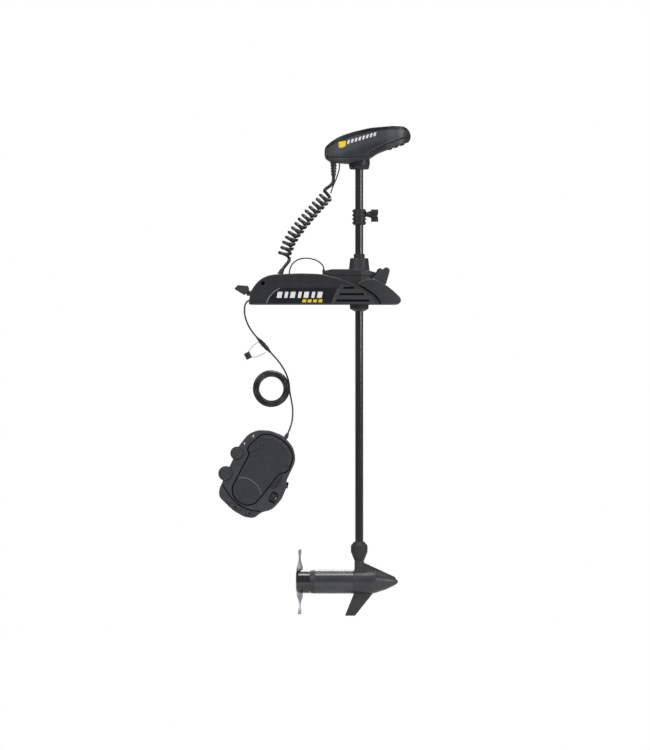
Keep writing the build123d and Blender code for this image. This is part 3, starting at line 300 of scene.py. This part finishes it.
def plate(name, outline, y0, y1, body, mat, bevel=0.0):
    """A flat plate: its outline in x and z, from y0 to y1."""
    bm = bmesh.new()
    low = [bm.verts.new((x, y0, z)) for x, z in outline]
    high = [bm.verts.new((x, y1, z)) for x, z in outline]
    bm.faces.new(low)
    bm.faces.new(high)
    for i in range(len(outline)):
        j = (i + 1) % len(outline)
        bm.faces.new((low[i], low[j], high[j], high[i]))
    obj = mesh_piece(name, bm)
    if bevel:
        round_over = obj.modifiers.new("bevel", "BEVEL")
        round_over.width = bevel
        round_over.segments = 3
    return finish_piece(obj, body, mat)


def rail(points, width, closed=False):
    """The two sides of a line in x and z, as one outline."""
    left, right = [], []
    count = len(points)
    for i, (x, z) in enumerate(points):
        a = points[i - 1] if i or closed else points[i]
        b = points[(i + 1) % count] if i < count - 1 or closed else points[i]
        along = Vector((b[0] - a[0], b[1] - a[1])).normalized()
        left.append((x - along.y * width / 2, z + along.x * width / 2))
        right.append((x + along.y * width / 2, z - along.x * width / 2))
    return left, right


def strip(name, points, width, y0, y1, body, mat, closed=False):
    """A thin line of constant width raised from y0 to y1."""
    left, right = rail(points, width, closed)
    bm = bmesh.new()
    rings = []
    for (lx, lz), (rx, rz) in zip(left, right):
        rings.append([bm.verts.new(p) for p in ((lx, y0, lz), (lx, y1, lz), (rx, y1, rz), (rx, y0, rz))])
    last = len(rings) if closed else len(rings) - 1
    for i in range(last):
        a, b = rings[i], rings[(i + 1) % len(rings)]
        for k in range(4):
            bm.faces.new((a[k], a[(k + 1) % 4], b[(k + 1) % 4], b[k]))
    if not closed:
        bm.faces.new(rings[0])
        bm.faces.new(rings[-1])
    return finish_piece(mesh_piece(name, bm), body, mat)


def curved(points, steps=6):
    """A smooth line through points in x and z."""
    out = []
    count = len(points)
    for i in range(count - 1):
        p0 = Vector(points[max(i - 1, 0)])
        p1, p2 = Vector(points[i]), Vector(points[i + 1])
        p3 = Vector(points[min(i + 2, count - 1)])
        for k in range(steps):
            t = k / steps
            out.append(tuple(0.5 * (2 * p1 + (p2 - p0) * t + (2 * p0 - 5 * p1 + 4 * p2 - p3) * t * t
                                    + (3 * p1 - p0 - 3 * p2 + p3) * t ** 3)))
    out.append(tuple(points[-1]))
    return out


def nurbs(name, points, radius=0.0):
    data = bpy.data.curves.new(name, "CURVE")
    data.dimensions = "3D"
    spline = data.splines.new("NURBS")
    spline.points.add(len(points) - 1)
    for point, place in zip(spline.points, points):
        point.co = (*place, 1.0)
    spline.order_u = 3
    spline.use_endpoint_u = True
    spline.resolution_u = 6
    data.bevel_depth = radius
    data.bevel_resolution = 4
    data.use_fill_caps = True
    obj = bpy.data.objects.new(name, data)
    bpy.context.collection.objects.link(obj)
    return obj


def line(points):
    """Points along the NURBS spline of a route."""
    route = nurbs("route", points)
    bpy.context.view_layer.update()
    mesh = bpy.data.meshes.new_from_object(route)
    out = [v.co.copy() for v in mesh.vertices]
    bpy.data.objects.remove(route)
    bpy.data.meshes.remove(mesh)
    return out


def length(points):
    return sum((b - a).length for a, b in zip(points, points[1:]))


def rings_along(points, radius, sides=14):
    """A circle of points round each point of a path, without twist."""
    rings = []
    normal = None
    for i, point in enumerate(points):
        along = (points[min(i + 1, len(points) - 1)] - points[max(i - 1, 0)]).normalized()
        if normal is None:
            normal = along.orthogonal().normalized()
        normal = (normal - along * normal.dot(along)).normalized()
        side = along.cross(normal)
        turn = 2 * math.pi / sides
        rings.append([point + (normal * math.cos(k * turn) + side * math.sin(k * turn)) * radius
                      for k in range(sides)])
    return rings


def tube(name, rings, caps=(True, True)):
    bm = bmesh.new()
    loops = [[bm.verts.new(p) for p in ring] for ring in rings]
    for a, b in zip(loops, loops[1:]):
        for k in range(len(a)):
            j = (k + 1) % len(a)
            bm.faces.new((a[k], a[j], b[j], b[k]))
    if caps[0]:
        bm.faces.new(loops[0])
    if caps[1]:
        bm.faces.new(loops[-1])
    return mesh_piece(name, bm, smooth=True)


# ---- pedal cord --------------------------------------------------------------------------------
CORD_R = 0.00275
UPPER = mm([
    (-250, -76, 14), (-259, -76, 11), (-266, -77, 1), (-268.5, -78, -14), (-268, -80, -33),
    (-262, -84, -56), (-247, -89, -87), (-226, -94, -111),
])
upper = nurbs("pedal_cord_upper_run", UPPER, CORD_R)
finish_piece(upper, "root", cord_rubber, ["pedal_cord_upper"])

COIL_X, COIL_Y, COIL_Z = -0.178, -0.112, -0.281
COIL_OUT, COIL_IN = 0.0602, 0.0429
COIL_PITCH = 0.00577
COLUMNS = 4
COLUMN_TURNS = 3
CROSSING_TURNS = 1 / 3
CROSSING_STEPS = 6
PER_TURN = 18


def coil_points():
    """Flat spirals side by side, inwards and outwards by turns, stepping across between them."""
    points = []
    turn = 0.0

    def put(radius, y):
        angle = -2 * math.pi * turn
        points.append((COIL_X + radius * math.cos(angle), y, COIL_Z + radius * math.sin(angle)))

    for column in range(COLUMNS):
        y = COIL_Y + (column - (COLUMNS - 1) / 2) * COIL_PITCH
        start, end = (COIL_OUT, COIL_IN) if column % 2 == 0 else (COIL_IN, COIL_OUT)
        steps = round(COLUMN_TURNS * PER_TURN)
        for k in range(steps):
            put(start + (end - start) * k / steps, y)
            turn += COLUMN_TURNS / steps
        if column < COLUMNS - 1:
            for k in range(CROSSING_STEPS):
                put(end, y + COIL_PITCH * k / CROSSING_STEPS)
                turn += CROSSING_TURNS / CROSSING_STEPS
    put(end, y)
    return points


MID = mm([
    (-181.5, -100, -159.5), (-165, -103, -177), (-148, -107, -198), (-133, -112, -222),
    (-123, -117, -246), (-118.5, -119.5, -266),
])
LOWER = mm([
    (-116.5, -104.5, -297), (-111, -112, -322), (-106.5, -124, -352), (-108, -136, -386),
    (-115.6, -142, -413.5), (-123.2, -142, -429.8),
])
pedal_run = nurbs("pedal_cord_run", MID + coil_points() + LOWER, CORD_R)
finish_piece(pedal_run, "root", cord_rubber,
             ["pedal_cord_mid", "pedal_cord_coil", "pedal_cord_lower"])

LANYARD_R = 0.001
LANYARD_UPPER = mm([(-220.5, -95, -125), (-231, -96, -131), (-246, -97, -144), (-255, -97, -159)])
LANYARD_LOWER = mm([(-198, -98.5, -160), (-216, -97, -171), (-234, -97, -176.5), (-247, -97, -176)])
LANYARDS = (
    ("cap_lanyard_upper", "fitting", LANYARD_UPPER),
    ("cap_lanyard_lower", "object", LANYARD_LOWER),
)
for name, far_end, route in LANYARDS:
    lanyard = nurbs(name, route, LANYARD_R)
    finish_piece(lanyard, "root", lanyard_rubber, ["cap_lanyards"])

# ---- sense cable -------------------------------------------------------------------------------
LEAD_R = 0.0022
SENSE = mm([
    (-119, -62, 101), (-118, -61, 117), (-110, -58, 135), (-94, -52, 149), (-70, -45, 156),
    (-45, -38, 154), (-23, -32, 146), (-9, -29, 134), (-4, -28, 126), (-4, -28, 118),
])
sense_path = line(SENSE)
sense = tube("sense_cable_run", rings_along(sense_path, LEAD_R))
finish_piece(sense, None, cord_rubber, ["sense_cable"])
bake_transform(sense)

# ---- curly cord --------------------------------------------------------------------------------
WIRE_R = 0.0056
HELIX_R = 0.0174
HELIX_TURNS = 14
TURN_TILT = 0.0065
SWELL = 0.05
SWELL_RATE = 1.7
AXIS = mm([(-136.6, -66, 159.5), (-127, -62, 194), (-98, -52, 246), (-27, -40, 328), (10.5, -32, 367.5)])
TAIL_LOWER = mm([(-141, -72, 118), (-133.5, -72, 128), (-125, -71, 138), (-118, -69, 148)])
TAIL_UPPER = mm([(1, -32, 386), (12, -31, 393), (23, -30, 402), (29, -30, 415), (29, -30, 428)])


def helix_points():
    """The turns about the hanging line, tilted as a stretched curly cord's are."""
    axis = line(AXIS)
    total = length(axis)
    steps = HELIX_TURNS * PER_TURN + PER_TURN // 2
    points = []
    normal = Vector((1, 0, 0))
    for k in range(steps + 1):
        along_total = total * k / steps
        i = 0
        while i < len(axis) - 2 and along_total > (axis[i + 1] - axis[i]).length:
            along_total -= (axis[i + 1] - axis[i]).length
            i += 1
        along = (axis[i + 1] - axis[i]).normalized()
        normal = (normal - along * normal.dot(along)).normalized()
        side = along.cross(normal)
        angle = 2 * math.pi * k / PER_TURN
        place = axis[i] + along * along_total
        swell = HELIX_R * (1 + SWELL * math.sin(SWELL_RATE * angle / math.pi))
        outward = normal * math.cos(angle) + side * math.sin(angle)
        points.append(tuple(place + outward * swell + along * outward.y * TURN_TILT))
    return points


wire_path = line(TAIL_LOWER + helix_points() + TAIL_UPPER)
wire_rings = rings_along(wire_path, WIRE_R)
CUT_SHARES = (0.42, 0.56)
cuts = [0] + [int(len(wire_path) * share) for share in CUT_SHARES] + [len(wire_path) - 1]
CURLY_PARTS = (
    ("curly_cord_lower_turns", "root", "housing", 0.725, ["curly_tail_lower"]),
    ("curly_cord_middle_turns", "housing", "sleeve", 0.235, ["curly_cord"]),
    ("curly_cord_upper_turns", "sleeve", "shaft", 0.764, ["curly_tail_upper"]),
)
for k, (name, body_a, body_b, part_length, stands_for) in enumerate(CURLY_PARTS):
    first, last = cuts[k], cuts[k + 1]
    piece = tube(name, wire_rings[first:last + 1], caps=(k == 0, k == 2))
    finish_piece(piece, None, cord_rubber, stands_for)
    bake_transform(piece)

HEAD_LEAD = mm([
    (49, -22, 475), (49, -22, 458), (45, -22, 441), (39, -23, 423), (31, -25, 405), (24, -28, 388),
    (19.5, -30, 372),
])
head_lead = nurbs("head_lead_run", HEAD_LEAD, LEAD_R)
finish_piece(head_lead, "shaft", cord_rubber, ["head_lead"])

# ---- moulded edges -----------------------------------------------------------------------------
for name, voxel, passes in (
    ("head_cover", 0.0014, 14), ("head_base", 0.0014, 8), ("jack_plug", 0.001, 10),
    ("ramps", 0.0014, 5), ("side_covers", 0.0016, 3), ("pedal_shell", 0.0012, 5),
    ("treadle", 0.0012, 4), ("housing_cover", 0.0014, 5), ("stow_lever", 0.001, 6),
    ("depth_knob", 0.0008, 6), ("nose_housing", 0.0012, 12),
):
    soften(name, voxel, passes)

# ---- mount: panel, lines, marks ------------------------------------------------------------------
SIDE = 0.092
PANEL_OUTLINE = mm([(-194, 4), (-181, 29), (-164, 47), (-148, 56), (40, 57), (30, 4)])
WHITE_BARS = ((-161, 18), (-136, 12), (-117, 18), (-91, 12), (-72, 18), (-46, 12), (-27, 18))
WHITE_LOW, WHITE_HIGH, WHITE_LEAN = 0.0215, 0.042, 0.004
WHITE_SHARE = 0.9
YELLOW_BARS = 4
YELLOW_START, YELLOW_STEP = -0.076, 0.018
YELLOW_LOW, YELLOW_HIGH = 0.0065, 0.0165
YELLOW_WIDE, YELLOW_LEAN = 0.0125, 0.002
VENT_SLOTS = ((60, 99, 55.5), (46, 133, 34.0), (36, 150, 13.0))
VENT_HALF, VENT_TAPER = 3.6, 4
VENT_FIELD = mm([
    (27, 3), (34, 22), (46, 44), (62, 63), (83, 63), (104, 55), (121, 48), (140, 35), (157, 24), (166, 13),
    (171, 3),
])
for side, tag in ((-1, "near"), (1, "far")):
    def place(depth):
        return side * (SIDE - depth)

    plate(f"side_panel_{tag}", PANEL_OUTLINE, place(0.0013), place(0.0006), "root", panel_black)
    edge_line = curved(mm([(-194, 4), (-189, 18), (-180, 31), (-168, 43), (-150, 54)]))
    strip(f"panel_edge_{tag}", edge_line, 0.0022, place(0.0012), place(-0.0004), "root", line_grey)
    rim_line = curved(mm([(-251, 5), (-248, 28), (-241, 47), (-227, 68), (-209, 84), (-187, 94)]))
    strip(f"cover_bevel_{tag}", rim_line, 0.005, place(0.0032), place(-0.0002), "root", ramp_grey)
    plate(f"vent_field_{tag}", VENT_FIELD, place(0.0006), place(-0.0001), "root", vent_grey)
    slant = mm([(25, 3), (33, 23), (45, 45), (60, 64)])
    strip(f"vent_border_{tag}", curved(slant), 0.008, place(0.0022), place(-0.0006), "root", rim_grey)
    for i, (x, pitch) in enumerate(WHITE_BARS):
        x0 = x / 1000
        wide = pitch / 1000 * WHITE_SHARE
        outline = [(x0, WHITE_LOW), (x0 + wide, WHITE_LOW), (x0 + wide + WHITE_LEAN, WHITE_HIGH),
                   (x0 + WHITE_LEAN, WHITE_HIGH)]
        plate(f"stripe_white_{i}_{tag}", outline, place(0.0008), place(0.0002), "root", mark_white)
    for i in range(YELLOW_BARS):
        x0 = YELLOW_START + i * YELLOW_STEP
        outline = [(x0, YELLOW_LOW), (x0 + YELLOW_WIDE, YELLOW_LOW),
                   (x0 + YELLOW_WIDE + YELLOW_LEAN, YELLOW_HIGH), (x0 + YELLOW_LEAN, YELLOW_HIGH)]
        plate(f"stripe_yellow_{i}_{tag}", outline, place(0.0008), place(0.0002), "root", mark_yellow)
    # Near-black plates standing slightly proud in the three vent slots: painted shade inside the slots.
    for i, (x0, x1, z) in enumerate(VENT_SLOTS):
        slot_outline = mm([(x0, z - VENT_HALF), (x1, z - VENT_HALF), (x1 - VENT_TAPER, z + VENT_HALF),
                           (x0 + VENT_TAPER, z + VENT_HALF)])
        plate(f"vent_slot_shade_{i}_{tag}", slot_outline, place(0.0028), place(-0.0004), "root", shade_and_mark_black)


# ---- marks that lie on a curved surface ----------------------------------------------------------
def surface(names):
    """The softened surface of CAD nodes, to lay marks on."""
    bpy.context.view_layer.update()
    graph = bpy.context.evaluated_depsgraph_get()
    bm = bmesh.new()
    for name in names:
        bm.from_mesh(NODES[name].evaluated_get(graph).to_mesh())
    tree = BVHTree.FromBMesh(bm)
    bm.free()
    return tree


def decal(name, outline, tree, side, body, mat, lift=0.0005, cell=0.003):
    """A thin skin on the surface behind its outline in x and z, seen from the side."""
    bm = bmesh.new()
    bm.faces.new([bm.verts.new((x, 0, z)) for x, z in outline])
    xs, zs = [p[0] for p in outline], [p[1] for p in outline]
    for low, high, normal in ((min(xs), max(xs), (1, 0, 0)), (min(zs), max(zs), (0, 0, 1))):
        cut = low + cell
        while cut < high:
            at = Vector(normal) * cut
            bmesh.ops.bisect_plane(bm, geom=bm.verts[:] + bm.edges[:] + bm.faces[:], plane_co=at,
                                   plane_no=normal)
            cut += cell
    for v in bm.verts:
        hit, normal, _, _ = tree.ray_cast(Vector((v.co.x, side * 0.3, v.co.z)), Vector((0, -side, 0)))
        if hit is not None:
            v.co = hit + normal * lift * (1 if normal.y * side > 0 else -1)
    lost = [v for v in bm.verts if v.co.y == 0]
    bmesh.ops.delete(bm, geom=lost, context="VERTS")
    obj = mesh_piece(name, bm, smooth=True)
    thick = obj.modifiers.new("thick", "SOLIDIFY")
    thick.thickness = 0.0003
    thick.offset = 0
    return finish_piece(obj, body, mat)


head_surface = surface(["head_cover", "head_base"])

SHAFT_AT = 0.115
FLARE = (
    (0.490, 0.0352), (0.475, 0.0362), (0.464, 0.0345), (0.456, 0.0325), (0.456, 0.031), (0.490, 0.031),
)
FLARE_SIDES = 48


def flare_ring(z, radius):
    turns = [2 * math.pi * k / FLARE_SIDES for k in range(FLARE_SIDES)]
    return [Vector((SHAFT_AT + radius * math.cos(turn), radius * math.sin(turn), z)) for turn in turns]


flare_rings = [flare_ring(z, radius) for z, radius in FLARE]
flare = tube("head_collar_flare", flare_rings + flare_rings[:1], caps=(False, False))
finish_piece(flare, "shaft", head_under)

HEAD_BADGE = mm([(46.66, 524.27), (55.37, 522.26), (69.78, 528.29), (70.44, 546.05), (45.32, 542.37)])
HEAD_STRIPES = 8
STRIPE_START, STRIPE_STEP = (73.46, 534.995), 12.5625
STRIPE_SLOPE = 0.29
STRIPE = ((0, 0), (7.705, 2.01), (11.055, 14.74), (3.35, 12.73))
# Route of a painted highlight line a little above the head cover's parting seam, laid on both sides.
HEAD_SEAM_HIGHLIGHT = mm([
    (133, 497), (148, 508), (164, 518.5), (184, 530), (205, 540.5), (230, 550), (258, 559.5),
])
for side, tag in ((-1, "near"), (1, "far")):
    seam = curved(HEAD_SEAM_HIGHLIGHT)
    left, right = rail(seam, 0.0016)
    decal(f"head_seam_painted_highlight_{tag}", left + right[::-1], head_surface, side, "shaft", seam_painted_highlight)
    decal(f"head_badge_{tag}", HEAD_BADGE, head_surface, side, "shaft", mark_yellow)
    for i in range(HEAD_STRIPES):
        x = STRIPE_START[0] + i * STRIPE_STEP
        base = STRIPE_START[1] + i * STRIPE_STEP * STRIPE_SLOPE
        decal(f"head_stripe_{i}_{tag}", mm([(x + dx, base + dz) for dx, dz in STRIPE]), head_surface, side,
              "shaft", mark_white)

# ---- pedal details -------------------------------------------------------------------------------
PEDAL_AT = (-0.226, -0.112, -0.565)
LEAN = math.radians(25)


def on_pedal(points):
    """Pedal-top points, toe-ward and left-ward in mm, as x and z in the row frame."""
    return [(PEDAL_AT[0] + (x * math.sin(LEAN) - y * math.cos(LEAN)) / 1000,
             PEDAL_AT[2] + (x * math.cos(LEAN) + y * math.sin(LEAN)) / 1000) for x, y in points]


TREADLE_FACE = PEDAL_AT[1] - 0.054
SHELL_FACE = PEDAL_AT[1] - 0.050
RIM_LINE = on_pedal([(121, 30), (130, 6), (129, -24), (117, -55), (100, -76), (72, -83)])
HEEL_LINE = on_pedal([(-38, 51), (-29, 35), (-26, 15), (-30, -8), (-40, -28), (-55, -42)])
RECESS_SHADE = on_pedal([(34, -78), (21, -72), (2, -66), (-21, -60), (-22, -66), (-15, -78), (0, -82), (20, -84)])
HEEL_GROOVE = on_pedal([(-80, 88), (-98, 60), (-112, 30), (-118, 0), (-117, -30), (-108, -62)])
strip("treadle_rim_line", curved(RIM_LINE), 0.003, TREADLE_FACE + 0.0006, TREADLE_FACE - 0.0006, "treadle",
      line_dim)
strip("treadle_heel_line", curved(HEEL_LINE), 0.0035, TREADLE_FACE + 0.0006, TREADLE_FACE - 0.0006,
      "treadle", line_mid)
# A dark plate on the shell beside the treadle: painted shade in the sloping pocket there.
plate("shell_recess_shade", curved(RECESS_SHADE), SHELL_FACE + 0.0008, SHELL_FACE - 0.0004, "root", pedal_dark)
strip("heel_groove", curved(HEEL_GROOVE), 0.0035, SHELL_FACE + 0.0008, SHELL_FACE - 0.0004, "root",
      shade_and_mark_black)
MARK_HALF = 1.6
MARK_TAPER = 0.7
for i, (x, y, size) in enumerate(((110, 64, 4.5), (74.5, 80, 3.5))):
    top = size * MARK_TAPER
    mark = on_pedal([(x - size, y - MARK_HALF), (x + size, y - MARK_HALF), (x + top, y + MARK_HALF),
                     (x - top, y + MARK_HALF)])
    plate(f"pedal_mark_{i}", mark, SHELL_FACE + 0.0006, SHELL_FACE - 0.0004, "root", mark_white)

side_key = on_pedal([(-1, -112.5), (19, -108), (18, -101), (-2, -105)])
plate("pedal_side_key", side_key, PEDAL_AT[1] - 0.043, PEDAL_AT[1] - 0.024, "root", shade_and_mark_black,
      bevel=0.001)
WHEEL_RIM = PEDAL_AT[1] - 0.056
wheel_mark = on_pedal([(-50, -93), (-43, -93), (-43, -89.5), (-50, -89.5)])
plate("wheel_mark", wheel_mark, WHEEL_RIM + 0.0012, WHEEL_RIM - 0.0003, "speed_wheel", line_grey)


def capsule(x, y, length, width, angle, grow, steps=8):
    """The outline of a bar with round ends whose long side lies along y, turned by an angle."""
    radius = width / 2 + grow
    reach = length / 2 - width / 2
    turn = math.radians(angle)
    points = []
    for end in (1, -1):
        for k in range(steps + 1):
            t = math.pi * k / steps
            across, along = end * radius * math.cos(t), end * (reach + radius * math.sin(t))
            points.append((x + across * math.cos(turn) - along * math.sin(turn),
                           y + across * math.sin(turn) + along * math.cos(turn)))
    return on_pedal(points)


BAR = (84, 38, 48, 13, 60)
strip("bar_surround", capsule(*BAR, 2.4), 0.0016, TREADLE_FACE + 0.0006, TREADLE_FACE - 0.0005, "treadle",
      line_dim, closed=True)
# A lighter ring just inside the bar button's edge: a painted highlight on the button's top edge.
strip("bar_rim_painted_highlight", capsule(*BAR, -2.4), 0.0012, TREADLE_FACE - 0.0026, TREADLE_FACE - 0.0035, "bar_button",
      line_mid, closed=True)
HEEL_FACE = PEDAL_AT[1] - 0.053
ARROW_AT, ARROW_HALF = -129, 4.2
ARROW_TIP, ARROW_BASE = 5.5, -3.5
for tag, at_y, way in (("left", 20, 1), ("right", -34, -1)):
    base = at_y + way * ARROW_BASE
    arrow = on_pedal([(ARROW_AT, at_y + way * ARROW_TIP), (ARROW_AT - ARROW_HALF, base),
                      (ARROW_AT + ARROW_HALF, base)])
    plate(f"heel_arrow_{tag}", arrow, HEEL_FACE + 0.0003, HEEL_FACE - 0.0004, f"{tag}_heel_button",
          shade_and_mark_black)

# ---- studio ------------------------------------------------------------------------------------
FLOOR_Z = -1.046
FLOOR_HALF = 1.5
ROOM_LIGHT = 0.3
AIM = (0, 0, -0.2)
bm = bmesh.new()
bmesh.ops.create_grid(bm, x_segments=1, y_segments=1, size=FLOOR_HALF)
floor = mesh_piece("floor", bm)
floor.location.z = FLOOR_Z
floor.visible_camera = False
floor.data.materials.append(material("floor_white", (0.86, 0.86, 0.86), 0.7, tint=0.02, mottle=2, wear=0.0,
                                     bump=0.02, edge=0.0))

world = bpy.data.worlds.new("studio")
world.use_nodes = True
sky = world.node_tree
backdrop = sky.nodes["Background"]
backdrop.inputs["Color"].default_value = (1.0, 1.0, 1.0, 1.0)
backdrop.inputs["Strength"].default_value = 1.0
room = sky.nodes.new("ShaderNodeBackground")
room.inputs["Color"].default_value = (0.93, 0.96, 1.0, 1.0)
room.inputs["Strength"].default_value = ROOM_LIGHT
seen = sky.nodes.new("ShaderNodeLightPath")
choose = sky.nodes.new("ShaderNodeMixShader")
sky.links.new(seen.outputs["Is Camera Ray"], choose.inputs["Fac"])
sky.links.new(room.outputs["Background"], choose.inputs[1])
sky.links.new(backdrop.outputs["Background"], choose.inputs[2])
sky.links.new(choose.outputs["Shader"], sky.nodes["World Output"].inputs["Surface"])
bpy.context.scene.world = world
bpy.context.scene.view_settings.view_transform = "Standard"
LIGHTS = (
    ("key", (-2.6, -3.4, 2.4), 2.0, 95.0, 0.6),
    ("fill", (3.4, -2.6, 0.6), 1.6, 55.0, 0.1),
    ("top", (0.3, -0.4, 4.2), 2.6, 130.0, 0.2),
    ("back", (0.6, 3.4, 2.2), 2.2, 70.0, 0.5),
)
for name, spot, size, power, shine in LIGHTS:
    lamp = bpy.data.lights.new(name, "AREA")
    lamp.size = size
    lamp.energy = power
    lamp.specular_factor = shine
    light = bpy.data.objects.new(name, lamp)
    light.location = spot
    light.rotation_euler = (Vector(AIM) - Vector(spot)).to_track_quat("-Z", "Y").to_euler()
    bpy.context.collection.objects.link(light)

bpy.context.view_layer.update()
